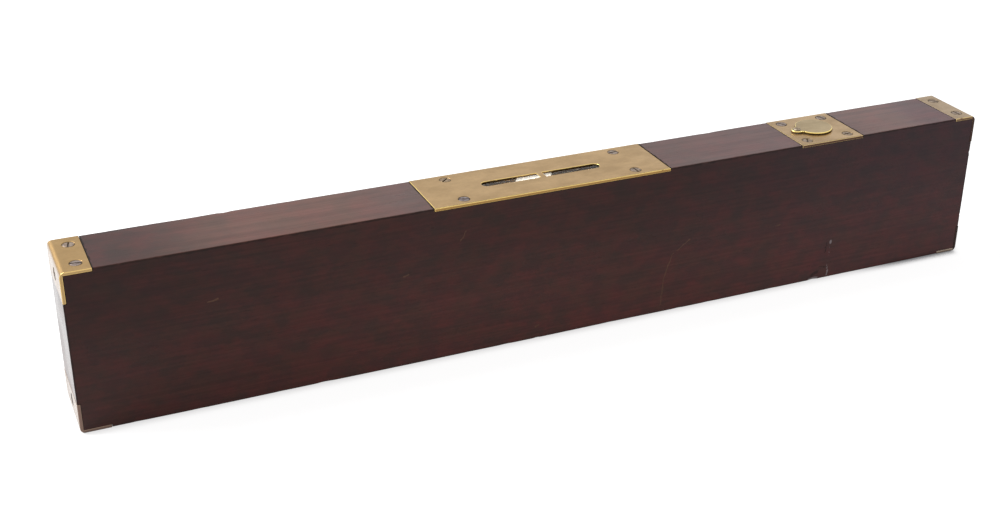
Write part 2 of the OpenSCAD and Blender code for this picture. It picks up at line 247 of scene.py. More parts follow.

# %% [markdown]
# ## Effects that several finishes share
# Old things wear in the same few ways whatever they are made of. Each of those ways is a node
# group here with a few named inputs, built once. A group gives out only masks and heights, and
# each material decides what colour or gloss a mask stands for.
#
# Worn and shining edges come from a number in the mesh: every face of a rounded outer edge holds a
# 1 under the name rim, and noise breaks that line up. Grime and painted shade use ambient
# occlusion, which is large down in seams, slots and gaps, so the darkening there is dirt and
# painted shade together.

# %% Shared effects
def worn_and_shining_edges_group():
    # Rim faces broken up by noise: wear, and a painted highlight where the colour laid there is
    # bright
    start = new_group("worn and shining edges", Size=0.002, Break=0.4)
    patches = clouds(place_on(), detail=3, scale=over(1.0, start["Size"]))
    kept = fade(patches, times(start["Break"], 0.7), start["Break"])
    return give(Mask=times(held("rim"), kept))


def grime_and_shade_group():
    start = new_group("grime and painted shade in corners", Reach=0.001, Amount=1.0)
    # Occluded places, such as corners, seams and gaps, get dirt and painted shade together
    open_sky = put("AmbientOcclusion", {"Distance": start["Reach"]}, samples=8)["AO"]
    uneven = fade(clouds(place_on(), (900, 900, 900), detail=2), 0.2, 0.7, 0.45, 1.0)
    dirt = times(fade(open_sky, 1.0, 0.35), uneven)
    return give(Mask=times(dirt, start["Amount"]))


def mottle_group():
    start = new_group("mottle", Size=0.01, Contrast=0.5, Stretch=1.0)
    long_way = put("CombineXYZ", {0: start["Stretch"], 1: 1.0, 2: 1.0})[0]
    place = vector("DIVIDE", place_on(), long_way)
    value = clouds(place, detail=4, rough=0.6, scale=over(1.0, start["Size"]))
    low = times(start["Contrast"], 0.5)
    return give(Value=fade(value, low, minus(1.0, low)))


def scratches_group():
    start = new_group("fine scratches", Along=0.02, Across=0.00025, Turn=0.0)
    swing = put("CombineXYZ", {2: start["Turn"]})[0]
    turned = {"Vector": place_on(), "Rotation": swing}
    turned = put("VectorRotate", turned, rotation_type="EULER_XYZ")[0]
    sizes = put("CombineXYZ", {0: start["Along"], 1: start["Across"], 2: start["Across"]})[0]
    lines = clouds(vector("DIVIDE", turned, sizes), detail=3, rough=0.7)
    return give(Height=fade(lines, 0.35, 0.72))


def scuff_and_shade_line_group():
    """A mark along a line between two points, broken up like a rubbed scratch: scuffs, and painted
    shade lines too.
    """
    start = new_group("scuff and shade line", From=(0, 0, 0), To=(0, 0, 0), Width=0.001, Cover=0.5)
    shake = put("TexNoise", {"Vector": place_on(), "Scale": 260.0})["Color"]
    shake = vector("SUBTRACT", shake, (0.5, 0.5, 0.5))
    shake = vector("MULTIPLY", shake, (0.0015, 0.0015, 0.0015))
    line = vector("SUBTRACT", start["To"], start["From"])
    reach = vector("SUBTRACT", vector("ADD", place_on(), shake), start["From"])
    share = over(vector("DOT_PRODUCT", reach, line, "Value"),
                 vector("DOT_PRODUCT", line, line, "Value"))
    share = put("Clamp", {0: share})[0]
    near = put("VectorMath", {0: line, "Scale": share}, operation="SCALE")[0]
    gap = vector("DISTANCE", reach, near, "Value")
    core = fade(over(gap, start["Width"]), 1.0, 0.35)
    speck = clouds(place_on(), detail=3, rough=0.7, scale=900.0)
    least = minus(0.85, start["Cover"])
    return give(Mask=times(core, fade(speck, least, plus(least, 0.12))))


WORN_AND_SHINING_EDGES = worn_and_shining_edges_group()
GRIME_AND_SHADE = grime_and_shade_group()
MOTTLE = mottle_group()
SCRATCHES = scratches_group()
SCUFF_AND_SHADE_LINE = scuff_and_shade_line_group()
print("shared effects:", [group.name for group in bpy.data.node_groups])

# %% [markdown]
# ## Mahogany
# Mahogany shows long, fine streaks, short dark pores and a soft cloudy figure that runs across
# them. One solid pattern in space gives all of it: noise stretched along the stock draws lines
# on the sides and, with no further work, dots and arcs on the end grain. A flat picture wrapped
# round the block would break at every corner.

# %% The grain
def grain_group():
    start = new_group("wood grain", Ring=0.0026, Pore=0.5)
    place = place_on()
    drift = clouds(place, (6, 22, 22), detail=2)
    _, across, up = split(place)
    across = calc("POWER", plus(across, 0.062), 2.0)
    up = calc("POWER", plus(up, 0.085), 2.0)
    heart = total(calc("SQRT", plus(across, up)), (drift, 0.012))
    ring = calc("SINE", over(times(heart, 2 * math.pi), start["Ring"]))
    fibre = clouds(place, (16, 1100, 1100), detail=5, rough=0.65)
    band = clouds(place, (5, 170, 170), detail=3)
    streak = total(times(fibre, 0.7), (band, 0.24), (fade(ring, -1.0, 1.0), 0.06))
    short = clouds(place, (150, 3400, 3400), detail=1)
    least = total(0.86, (start["Pore"], -0.3))
    figure = clouds(place, (70, 60, 110), detail=4, rough=0.6)
    return give(Streak=fade(streak, 0.25, 0.78), Pores=fade(short, least, plus(least, 0.07)),
                Figure=fade(figure, 0.33, 0.68))


GRAIN = grain_group()

# %% [markdown]
# The stock was stained and rubbed with oil and polish, then handled for a lifetime. The colour
# is built up in the same order: dark streaks, a warmer cloudy figure, black pores, dirt and painted
# shade beside the brass and along the corners, and last the marks that this one picked up. Each
# mark has its two ends in millimetres on the level. A low specular level keeps the broad sides
# dark, and a pale painted sheen is laid on towards the right. The two ends have a thin coat of
# polish, which turns pale where it is seen at a slant.

# %% The finish of the stock
PALE_MARKS = (
    # from, to, width, how much of the line is covered
    ((147.4, -16.6, 20.4), (147.5, -16.6, 19.4), 0.9, 0.66),
    ((147.4, -16.6, 18.6), (147.0, -16.6, 4.5), 0.5, 0.34),
    ((147.2, -16.6, 3.8), (147.0, -16.6, 1.6), 0.75, 0.56),
    ((136.6, -16.5, 0.7), (141.0, -16.5, 0.9), 0.95, 0.62),
)
DARK_MARKS = (
    ((137.4, -16.6, 2.6), (140.8, -16.6, 4.2), 1.3, 0.5),
    ((145.2, -16.6, 20.0), (144.6, -16.6, 15.0), 0.9, 0.42),
    ((142.6, -16.6, 6.8), (146.0, -16.6, 6.0), 0.8, 0.44),
    ((-60.0, 16.6, 20.0), (-52.0, 16.6, 24.0), 1.1, 0.42),
)
BROWN_MARKS = (
    ((64.5, -16.6, 36.8), (55.0, -16.6, 30.4), 0.45, 0.5),
    ((55.0, -16.6, 30.4), (50.9, -16.6, 17.6), 0.45, 0.5),
    ((50.9, -16.6, 17.6), (50.2, -16.6, 4.5), 0.5, 0.48),
    ((-79.6, -16.6, 46.3), (-82.0, -16.6, 45.5), 0.55, 0.6),
    ((-169.9, -16.6, 51.0), (-165.3, -16.6, 51.8), 0.6, 0.5),
    ((-16.8, -16.6, 6.3), (-15.4, -16.6, 6.9), 0.6, 0.58),
    ((113.6, -16.6, 35.0), (115.6, -16.6, 35.2), 0.5, 0.5),
    ((-51.9, -16.6, 62.6), (-54.6, -16.6, 58.4), 0.45, 0.44),
    ((92.0, 16.6, 44.0), (74.0, 16.6, 52.5), 0.4, 0.46),
    ((-120.0, 16.6, 30.0), (-116.0, 16.6, 18.0), 0.5, 0.46),
    ((-228.5, -8.4, 63.0), (-228.5, -7.4, 61.8), 0.9, 0.7),
)


def marks(lines):
    """Where any line of a table shows."""
    mask = 0.0
    for begin, finish, width, cover in lines:
        mask = most(mask, use(SCUFF_AND_SHADE_LINE, From=scaled(begin, MM), To=scaled(finish, MM),
                              Width=width * MM, Cover=cover))
    return mask


SEAMS = tuple(
    ((x, -16.7, 76.1), (x, 16.7, 76.1), 0.75, 0.8)
    for x in (-215.1, -66.9, 51.7, 124.5, 160.0, 216.4)
)
# Painted shade: dark lines along the top corners and down the front corners at the ends
CORNER_SHADE_LINES = (
    ((-228, -16.65, 75.7), (228, -16.65, 75.7), 0.7, 0.72),
    ((-228.4, -16.6, 12.5), (-228.4, -16.6, 64.5), 1.0, 0.8),
    ((228.4, -16.6, 12.5), (228.4, -16.6, 64.5), 0.8, 0.6),
    ((-228, 16.6, 75.9), (228, 16.6, 75.9), 0.8, 0.8),
)


def mahogany_colour(streak, figure):
    """Dark red wood, bleached along its top, with a pale painted sheen towards the right, darker
    high on the left.
    """
    colour = blend(streak, (0.05, 0.0175, 0.0152), (0.076, 0.026, 0.0232))
    olive_red = blend(figure, (0.72, 1.05, 0.87), (1.34, 0.93, 1.02))
    colour = blend(0.5, colour, olive_red, "MULTIPLY")
    cloudy = use(MOTTLE, Size=0.006, Contrast=0.8, Stretch=1.7)
    cloudy = blend(cloudy, (0.86, 0.94, 0.96), (1.14, 1.07, 1.03))
    colour = blend(1.0, colour, cloudy, "MULTIPLY")
    x, _, z = split(place_on())
    tone = minus(fade(x, -0.24, -0.09, 0.76, 1.16), fade(x, -0.06, 0.06, 0.0, 0.2))
    low_down = times(fade(z, 0.004, 0.07, 1.0, 0.0), fade(x, -0.22, 0.05, 0.48, 0.98))
    tone = plus(tone, low_down)
    tone = put("CombineXYZ", {0: tone, 1: tone, 2: tone})[0]
    colour = blend(1.0, colour, tone, "MULTIPLY")
    # Painted sheen: a pale bluish reflection, growing towards the right and upwards
    painted_sheen = times(fade(x, 0.0, 0.22), fade(z, 0.0, 0.07, 0.6, 1.0))
    colour = blend(painted_sheen, colour, (0.013, 0.011, 0.02), "ADD")
    low_haze = times(fade(x, -0.15, 0.0), fade(z, 0.0, 0.06, 1.0, 0.0))
    colour = blend(low_haze, colour, (0.011, 0.0065, 0.0062), "ADD")
    bleached = times(facing(2), fade(x, -0.205, -0.14))
    bleached = times(bleached, fade(streak, 0.0, 1.0, 0.7, 1.2))
    bleached = times(bleached, fade(x, 0.188, 0.206, 1.0, 0.72))
    pale = blend(fade(x, -0.11, -0.07), (0.08, 0.045, 0.034), (0.06, 0.043, 0.04))
    pale = blend(fade(x, 0.03, 0.09), pale, (0.076, 0.051, 0.047))
    sunned = times(fade(x, 0.15, 0.172), fade(x, 0.186, 0.203, 1.0, 0.0))
    pale = blend(sunned, pale, (0.1, 0.058, 0.042))
    return blend(bleached, colour, pale, "ADD")


def mahogany():
    streak, pores, figure = use(GRAIN, Ring=0.0026, Pore=0.5)
    # Dark joints at the brass, and painted shade along the corners of the stock
    seams_and_corner_shade = most(times(marks(SEAMS), 0.9), times(marks(CORNER_SHADE_LINES), 0.6))
    dirt = most(use(GRIME_AND_SHADE, Reach=1.2 * MM, Amount=0.9), seams_and_corner_shade)
    brown, pale = marks(BROWN_MARKS), marks(PALE_MARKS)
    colour = paint(
        mahogany_colour(streak, figure),
        ((0.012, 0.005, 0.004), pores, 0.5),
        ((0.1, 0.04, 0.03), use(WORN_AND_SHINING_EDGES, Size=0.006, Break=0.5), 0.3),
        ((0.008, 0.005, 0.004), dirt),
        ((0.2, 0.1, 0.06), brown, 0.75),
        ((0.02, 0.008, 0.009), marks(DARK_MARKS), 0.7),
        ((0.5, 0.42, 0.43), pale, 0.85),
    )
    hands = use(MOTTLE, Size=0.03, Contrast=0.6, Stretch=2.0)
    ends = facing(0)
    gloss = total(fade(hands, 0.0, 1.0, 0.27, 0.36), (pores, 0.15), (ends, -0.14), (dirt, 0.3))
    coat = times(ends, total(0.18, (dirt, -0.15)))
    rubs = use(SCRATCHES, Along=0.05, Across=0.0004, Turn=0.02)
    height = total(times(streak, 0.3), (pores, -0.6), (rubs, 0.15), (most(brown, pale), -1.2))
    return surface(Base_Color=colour, Roughness=gloss, Specular_IOR_Level=0.2, Coat_Weight=coat,
                   Coat_Roughness=0.16, Normal=bump(height, 0.04, 0.6))


MAHOGANY = material_of("mahogany", mahogany)

# %% [markdown]
# ## Old brass
# Brass that is handled but not polished goes from yellow to a dull tan. The flat faces are the
# dullest, and the corners stay bright where hands and cloths rub them; that gold is also a painted
# highlight. Dirt packs round the screws and into the seams, painted darker still as shade. One
# recipe makes every brass finish here, as they differ only in how far each effect has gone.

# %% Brass recipe
GOLD_EDGE = (0.95, 0.69, 0.25)
SIDE_TARNISH = (0.35, 0.2, 0.065)
RUBBED_END = (0.58, 0.48, 0.41)


def brass(dull, gold=GOLD_EDGE, side=SIDE_TARNISH, leg=None, dirt=0.8, reach=0.9, turn=0.0,
          rubbed=0.78):
    """Tarnished brass. Gold is the colour of worn and shining edges, side that of faces across the
    stock: on most pieces wear and tarnish, on the cover both a painted highlight, on the lower
    right tip a painted reflection of the table.

    Leg is the colour of those faces past the right end of the wood, where it is given, tarnish and
    painted shade together, and rubbed says how far hands have paled the faces at the ends."""
    patches = use(MOTTLE, Size=0.011, Contrast=0.55, Stretch=1.8)
    specks = use(MOTTLE, Size=0.0016, Contrast=0.7)
    lines = use(SCRATCHES, Along=0.022, Across=0.00022, Turn=turn)
    across, ends = facing(1), facing(0)
    # Rim faces in the gold colour: wear and a painted highlight together
    edge = use(WORN_AND_SHINING_EDGES, Size=0.0025, Break=0.36)
    # Occlusion and each countersink's value: dirt and painted shade together
    grime_and_shade = most(use(GRIME_AND_SHADE, Reach=reach * MM, Amount=dirt), held("hole"))
    colour = paint(
        blend(patches, scaled(dull, 0.84), scaled(dull, 1.12)),
        (scaled(dull, 0.6), specks, 0.16),
        (side, across),
        (blend(patches, scaled(RUBBED_END, 0.84), RUBBED_END), ends, rubbed),
        (gold, edge),
    )
    # Faces past the right end of the wood: painted dark for tarnish and shade together
    if leg:
        past_wood = fade(split(place_on())[0], 0.2267, 0.2272)
        colour = paint(colour, (leg, times(past_wood, most(across, edge))))
    # Near black in occluded places and countersinks: dirt and painted shade
    colour = paint(colour, ((0.02, 0.013, 0.009), grime_and_shade))
    gloss = fade(patches, 0.0, 1.0, 0.39, 0.3)
    gloss = total(gloss, (lines, 0.06), (most(edge, ends), -0.15), (grime_and_shade, 0.3))
    height = total(times(lines, 0.5), (specks, 0.5))
    return surface(Base_Color=colour, Roughness=gloss, Metallic=total(0.94, (grime_and_shade, -0.8)),
                   Normal=bump(height, 0.012, 0.6))


PLATE_BRASS = material_of("plate brass", brass, (0.457, 0.299, 0.137))
SIGHT_PLATE_BRASS = material_of("sight plate brass", brass, (0.45, 0.305, 0.157),
                                gold=(0.62, 0.45, 0.22), side=(0.09, 0.045, 0.03), dirt=1.0)
# The cover's lip and sides are bright gold: a painted highlight, broken up like wear on the lip
COVER_BRASS = material_of("cover brass", brass, (0.4, 0.3, 0.16), gold=(0.96, 0.76, 0.28),
                          side=(0.82, 0.62, 0.2), dirt=0.6, reach=0.35, turn=0.6)
TIP_BRASS = material_of("tip brass", brass, (0.41, 0.26, 0.102), gold=(0.76, 0.53, 0.21),
                        side=(0.42, 0.28, 0.12), turn=0.3)
# Its leg past the right end of the wood is painted nearly black: tarnish and painted shade
FAR_TIP_BRASS = material_of("far tip brass", brass, (0.38, 0.275, 0.168), gold=(0.62, 0.46, 0.21),
                            side=(0.16, 0.09, 0.055), leg=(0.06, 0.035, 0.028), turn=0.3)
LOW_TIP_BRASS = material_of("low tip brass", brass, (0.3, 0.2, 0.13), gold=(0.28, 0.19, 0.14),
                            side=(0.19, 0.125, 0.1), turn=0.3)
# Its leg past the right end of the wood is painted nearly black, tarnish and shade together
# Lower right tip: its pale rims and faces across the stock are a painted reflection of the table
FAR_LOW_TIP_BRASS = material_of("far low tip brass", brass, (0.3, 0.2, 0.13), gold=(0.5, 0.4, 0.32),
                                side=(0.34, 0.26, 0.2), leg=(0.045, 0.028, 0.024), turn=0.3)
INNER_BRASS = material_of("inner brass", brass, (0.5, 0.36, 0.17), dirt=0.5, rubbed=0.1)

# %% [markdown]
# ## Screws, steel and the small parts
# The screws are a mixed lot, as on any tool that has been mended: some steel gone grey, some
# brass gone brown. Each screw carries its own share of steel as a number in its mesh, and one
# material reads that number. The slots and gaps are painted black, dirt and shade together.

# %% Screw metal and steel
def screw_metal():
    specks = use(MOTTLE, Size=0.0013, Contrast=0.75)
    lines = use(SCRATCHES, Along=0.004, Across=0.00018, Turn=0.9)
    # Dirt and painted shade in the slot and round the head
    grime_and_shade = use(GRIME_AND_SHADE, Reach=0.8 * MM, Amount=1.0)
    colour = paint(
        blend(held("steel"), (0.4, 0.29, 0.165), (0.31, 0.265, 0.27)),
        ((0.1, 0.068, 0.058), specks, 0.6),
        ((0.6, 0.52, 0.42), use(WORN_AND_SHINING_EDGES, Size=0.001, Break=0.45), 0.6),
        ((0.016, 0.012, 0.01), grime_and_shade),
    )
    return surface(Base_Color=colour, Roughness=total(0.36, (specks, 0.2)),
                   Metallic=total(0.95, (grime_and_shade, -0.85)),
                   Normal=bump(total(specks, (lines, 0.6)), 0.03, 0.6))


def plain_steel(colour, rough):
    specks = use(MOTTLE, Size=0.001, Contrast=0.6)
    return surface(Base_Color=blend(specks, scaled(colour, 0.6), colour), Roughness=rough,
                   Metallic=0.95, Normal=bump(specks, 0.01, 0.5))


SCREW_METAL = material_of("screw metal", screw_metal)
WASHER_STEEL = material_of("washer steel", plain_steel, (0.38, 0.35, 0.31), 0.4)
HAIR_WIRE = material_of("hair wire", plain_steel, (0.05, 0.05, 0.05), 0.5)

# %% [markdown]
# ## Glass, spirit and plaster
# A vial is a closed glass tube, nearly full of spirit, set in plaster. To light what lies under
# it without waiting for caustics, its glass lets shadow and diffuse rays straight through: a
# Light Path node mixes in a transparent shader for those rays. Of what the eye sees directly,
# the window glass bends and mirrors all. The vial is seen from low down, where it would mirror
# the white sky over the whole slot, so half of that is let straight through too.
#
# The bed is plaster gone brown where spirit once seeped into it, which is what makes the clear
# spirit look brown. A bubble in a vial looks white, because its skin throws back the sky. Here
# that white is put into its own colour and a faint glow, as the slot is too narrow to see much
# sky.

# %% Clear materials
def clear(colour, ior, straight=0.0):
    """Glass or spirit. Straight is the share of what the eye sees that isn't bent or mirrored."""
    glass = surface(Base_Color=colour, Roughness=0.0, IOR=ior, Metallic=0.0,
                    Transmission_Weight=1.0)
    path = put("LightPath")
    through = put("BsdfTransparent", {0: colour})[0]
    passing = most(most(path["Is Shadow Ray"], path["Is Diffuse Ray"]), straight)
    return put("MixShader", {0: passing, 1: glass, 2: through})[0]


def bubble_skin():
    """A white bubble, its white and glow a painted reflection of the sky, with painted shade at its
    curved ends.
    """
    low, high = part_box("vial_bubble")
    x, y, _ = split(place_on())
    along = total(x, (y, -0.7))
    right = fade(along, high.x - 3.4 * MM, high.x - 2.8 * MM)
    left = fade(along, low.x + 1.4 * MM, low.x + 0.8 * MM)
    # Painted reflection in the middle, painted shade at each curved end
    colour = blend(most(right, left), (1.0, 1.0, 1.0), (0.03, 0.022, 0.015))
    return surface(Base_Color=colour, Roughness=0.0, IOR=1.36, Metallic=0.0,
                   Transmission_Weight=0.1, Emission_Color=colour, Emission_Strength=0.8)


def chalky(low, high, size, depth, lit=None):
    """Plaster and cork: two tones and a rough skin, painted dark brown as shade outside the stretch
    that is lit.
    """
    patches = use(MOTTLE, Size=size, Contrast=0.5)
    # Dirt and painted shade in the corners of the bed
    dirt = use(GRIME_AND_SHADE, Reach=1.5 * MM, Amount=0.4)
    colour = paint(blend(patches, low, high), (scaled(low, 0.4), dirt))
    # Painted shade: the plaster turns dark brown beyond the stretch of the slot that light reaches
    if lit:
        along = split(place_on())[0]
        lit_stretch = times(fade(along, lit[0], lit[0] + 0.008, 0.85, 1.0),
                      fade(along, lit[1] - 0.007, lit[1], 1.0, 0.0))
        colour = blend(lit_stretch, (0.03, 0.014, 0.006), colour)
    return surface(Base_Color=colour, Roughness=0.85, Normal=bump(patches, depth, 0.8))


def plain_wood():
    streak, pores, _ = use(GRAIN, Ring=0.0018, Pore=0.35)
    colour = blend(streak, (0.12, 0.065, 0.035), (0.25, 0.15, 0.085))
    colour = paint(colour, ((0.05, 0.03, 0.02), pores, 0.5))
    return surface(Base_Color=colour, Roughness=0.7, Normal=bump(streak, 0.05))


def silvered():
    spots = use(MOTTLE, Size=0.0018, Contrast=0.9)
    aged = fade(spots, 0.86, 1.0, 0.0, 0.5)
    colour = blend(aged, (0.86, 0.88, 0.88), (0.12, 0.1, 0.08))
    return surface(Base_Color=colour, Metallic=1.0, Roughness=fade(aged, 0.0, 0.5, 0.03, 0.4))


VIAL_GLASS = material_of("vial glass", clear, (0.97, 0.97, 0.96), 1.5, straight=0.5)
WINDOW_GLASS = material_of("window glass", clear, (0.92, 0.95, 0.94), 1.5)
SPIRIT = material_of("spirit", clear, (0.99, 0.93, 0.82), 1.36, straight=0.2)
BUBBLE = material_of("bubble", bubble_skin)
PLASTER = material_of("plaster", chalky, (0.62, 0.29, 0.1), (0.92, 0.52, 0.2), 0.005, 0.12,
                      lit=(-0.03, 0.028))
CORK = material_of("cork", chalky, (0.22, 0.13, 0.07), (0.42, 0.28, 0.16), 0.0015, 0.2)
BLOCK_WOOD = material_of("block wood", plain_wood)
MIRROR = material_of("mirror", silvered)
print("materials:", len(bpy.data.materials))

# %% [markdown]
# ## Helpers for meshes
# Shapes are made with bmesh, in the level's own millimetres turned into metres. A finished
# piece has its modifiers applied, rides on a body of the measured model and, where it stands
# for a measured node, hides that node.

# %% Helpers for meshes
def mesh_object(name, shape):
    data = bpy.data.meshes.new(name)
    shape.to_mesh(data)
    shape.free()
    piece = bpy.data.objects.new(name, data)
    scene.collection.objects.link(piece)
    return piece


def settle(piece):
    """Applies the piece's modifiers."""
    bpy.context.view_layer.update()
    seen = piece.evaluated_get(bpy.context.evaluated_depsgraph_get())
    data = bpy.data.meshes.new_from_object(seen)
    old = piece.data
    piece.modifiers.clear()
    piece.data = data
    data.name = piece.name
    bpy.data.meshes.remove(old)


def shade(piece, angle=32, weigh=True):
    data = piece.data
    data.polygons.foreach_set("use_smooth", [True] * len(data.polygons))
    data.set_sharp_from_angle(angle=math.radians(angle))
    if weigh:
        flat = piece.modifiers.new("flat faces", "WEIGHTED_NORMAL")
        flat.keep_sharp = True
        flat.weight = 100
        settle(piece)


def dress(piece, material, body, slot, *nodes):
    piece.data.materials.clear()
    piece.data.materials.append(material)
    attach(piece, body)
    if nodes:
        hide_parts(*nodes)
    print(f"{piece.name}: {len(piece.data.vertices)} vertices, rides on {body}")


def carve(piece, cutter):
    """Cuts the cutter out of the piece and throws the cutter away."""
    cut = piece.modifiers.new("cut", "BOOLEAN")
    cut.operation = "DIFFERENCE"
    cut.object = cutter
    cut.solver = "EXACT"
    settle(piece)
    bpy.data.objects.remove(cutter)


def boxes(name, corners):
    """One mesh of separate boxes, each from its lowest to its highest corner in millimetres."""
    shape = bmesh.new()
    for low, high in corners:
        low, high = Vector(low) * MM, Vector(high) * MM
        place = Matrix.Translation((low + high) / 2) @ Matrix.Diagonal((*(high - low), 1))
        bmesh.ops.create_cube(shape, size=1, matrix=place)
    return mesh_object(name, shape)


def skin(shape, rings, *caps):
    """Faces from each ring of points to the next, then the caps. A point can stand for a ring."""
    faces = []
    for first, second in zip(rings, rings[1:]):
        steps = max(len(first), len(second))
        for step in range(steps):
            after = (step + 1) % steps
            corners = (first[step % len(first)], second[step % len(second)],
                       second[after % len(second)], first[after % len(first)])
            faces.append(shape.faces.new(tuple(dict.fromkeys(corners))))
    for cap in caps:
        shape.faces.new(cap)
    bmesh.ops.recalc_face_normals(shape, faces=shape.faces)
    return faces


def lathe(name, profile, place=Matrix(), steps=64):
    """Turns a profile of (radius, height) in millimetres about Z, closed on the axis."""
    shape = bmesh.new()
    rings = []
    for radius, height in profile:
        turns = [2 * math.pi * step / steps for step in range(steps if radius else 1)]
        points = (Vector((radius * math.cos(a), radius * math.sin(a), height)) for a in turns)
        rings.append([shape.verts.new(place @ (point * MM)) for point in points])
    skin(shape, rings)
    return mesh_object(name, shape)


def along_level(x, z):
    """Lays what the lathe turns along the level, from a place on its middle plane."""
    return Matrix.Translation((x * MM, 0, z * MM)) @ Matrix.Rotation(math.pi / 2, 4, "Y")


def node_box(node):
    low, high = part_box(node)
    return Vector(low) / MM, Vector(high) / MM


def welded(node):
    """A copy of a measured node in which doubled points are one."""
    shape = bmesh.new()
    shape.from_mesh(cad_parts[node].data)
    bmesh.ops.remove_doubles(shape, verts=shape.verts, dist=0.002 * MM)
    return shape

# %% [markdown]
# ## The stock
# A new block has four straight corners. This one has been dropped, leaned on walls and carried
# in a bag, so its long corners are softer in some places than in others and a few carry
# dents. The block is built as many thin slices along its length. Each slice is a rectangle with
# round corners, and noise decides how round each corner is there.
#
# Where the photograph shows a dent, it is a line in DENTS with its place and depth. The beds
# of the brass, the mortise and the bores are then cut with booleans from the measured boxes.

# %% The worn block
STOCK_LOW, STOCK_HIGH = node_box("stock")
SHRINK = 0.1
TIP_T = 1.5
PLATE_T = 1.5
BED_GAP = 0.2
BED_DEEPER = 0.12
ARRIS = 0.45
SLICE = 1.0
FRONT, BACK, UPPER, LOWER = -1, 1, 1, -1
DENTS = (
    # side, level, place along the stock, half length, depth
    (FRONT, LOWER, 138.9, 2.6, 0.75),
    (FRONT, LOWER, -16.0, 2.0, 0.35),
    (FRONT, UPPER, -109.1, 1.2, 0.4),
    (FRONT, UPPER, -190.0, 3.0, 0.3),
    (FRONT, UPPER, 88.0, 2.2, 0.3),
    (FRONT, LOWER, -120.0, 4.0, 0.4),
    (FRONT, LOWER, 60.0, 3.0, 0.3),
    (BACK, UPPER, -152.8, 3.0, 0.6),
    (BACK, UPPER, -170.0, 12.0, 0.3),
    (BACK, UPPER, 90.0, 4.0, 0.4),
    (BACK, LOWER, 20.0, 5.0, 0.5),
    (BACK, LOWER, -180.0, 3.0, 0.5),
)


def corner_wear(side, level, x):
    """How much rounder than new one long corner is at a place along the stock."""
    seed = 40 * side + 90 * level
    slow = noise.noise(Vector((x * 0.02, seed, 0)))
    quick = noise.noise(Vector((x * 0.11, seed, 7)))
    wear = max(0.0, 0.12 + 0.35 * slow) + max(0.0, quick - 0.15) * 0.5
    for dent_side, dent_level, place, half, depth in DENTS:
        if (dent_side, dent_level) == (side, level) and abs(x - place) < half:
            share = (x - place) / half
            ragged = 1 + 0.35 * noise.noise(Vector((x * 1.7, seed, 3)))
            wear += depth * (1 - share * share) * ragged
    return wear


def slice_points(x, inset):
    """The outline of one slice, counter-clockwise seen from +X."""
    half_y = STOCK_HIGH.y - SHRINK - inset
    low_z = STOCK_LOW.z + SHRINK / 2 + inset
    high_z = STOCK_HIGH.z - SHRINK - inset
    points = []
    corners = ((BACK, UPPER), (FRONT, UPPER), (FRONT, LOWER), (BACK, LOWER))
    for quarter, (side, level) in enumerate(corners):
        radius = max(0.05, ARRIS + corner_wear(side, level, x) - inset * 0.6)
        edge_z = high_z if level == UPPER else low_z
        centre = Vector((x, side * (half_y - radius), edge_z - level * radius))
        for step in range(5):
            angle = math.radians(90 * quarter + 22.5 * step)
            points.append((centre + radius * Vector((0, math.cos(angle), math.sin(angle)))) * MM)
    return points


end = STOCK_HIGH.x - SHRINK
turns = [math.radians(30 * step) for step in range(4)]
places = [(-end + ARRIS * (1 - math.cos(a)), ARRIS * (1 - math.sin(a))) for a in turns]
inner = np.linspace(-end + ARRIS, end - ARRIS, int(2 * end / SLICE)).tolist()
places += [(x, 0.0) for x in inner[1:-1]]
places += [(-x, inset) for x, inset in reversed(places[:4])]
shape = bmesh.new()
rim = shape.faces.layers.float.new("rim")
rings = [[shape.verts.new(p) for p in slice_points(x, inset)] for x, inset in places]
for index, face in enumerate(skin(shape, rings, rings[0][::-1], rings[-1])):
    # Four faces round each corner, then one flat side
    face[rim] = float(index % 5 < 4)
stock = mesh_object("stock_worn", shape)

# Places beyond the stock that a cut has to reach, in millimetres
OUT_X, OUT_Y, OUT_Z = 300.0, 30.0, 120.0


def ordered(a, b):
    return tuple(map(min, a, b)), tuple(map(max, a, b))


def plate_bed(node):
    low, high = node_box(node)
    floor = high.z - PLATE_T - BED_DEEPER
    return (low.x - BED_GAP, -OUT_Y, floor), (high.x + BED_GAP, OUT_Y, OUT_Z)


def tip_beds(node):
    """One bed for the leg of a tip along the stock, and one for its leg down or up the end."""
    low, high = node_box(node)
    left, upper = low.x < 0, low.z > 1
    inner_x = high.x + BED_GAP if left else low.x - BED_GAP
    leg_z = high.z - TIP_T - BED_DEEPER if upper else low.z + TIP_T + BED_DEEPER
    foot_z = low.z - BED_GAP if upper else high.z + BED_GAP
    face_x = low.x + TIP_T + BED_DEEPER if left else high.x - TIP_T - BED_DEEPER
    out_x = -OUT_X if left else OUT_X
    out_z = OUT_Z if upper else -OUT_Y
    return (ordered((out_x, -OUT_Y, leg_z), (inner_x, OUT_Y, out_z)),
            ordered((out_x, -OUT_Y * 1.1, foot_z), (face_x, OUT_Y * 1.1, out_z)))


CHIPS = (
    # place in millimetres, half size along X, Y and Z
    ((228.5, -16.6, 63.4), (0.7, 0.8, 0.8)),
    ((228.6, -16.7, 56.2), (0.9, 0.8, 1.1)),
    ((228.6, -16.5, 21.0), (0.6, 0.7, 0.9)),
    ((228.6, 16.6, 40.0), (0.7, 0.8, 1.6)),
    ((-228.6, 16.6, 33.0), (0.6, 0.8, 1.2)),
)


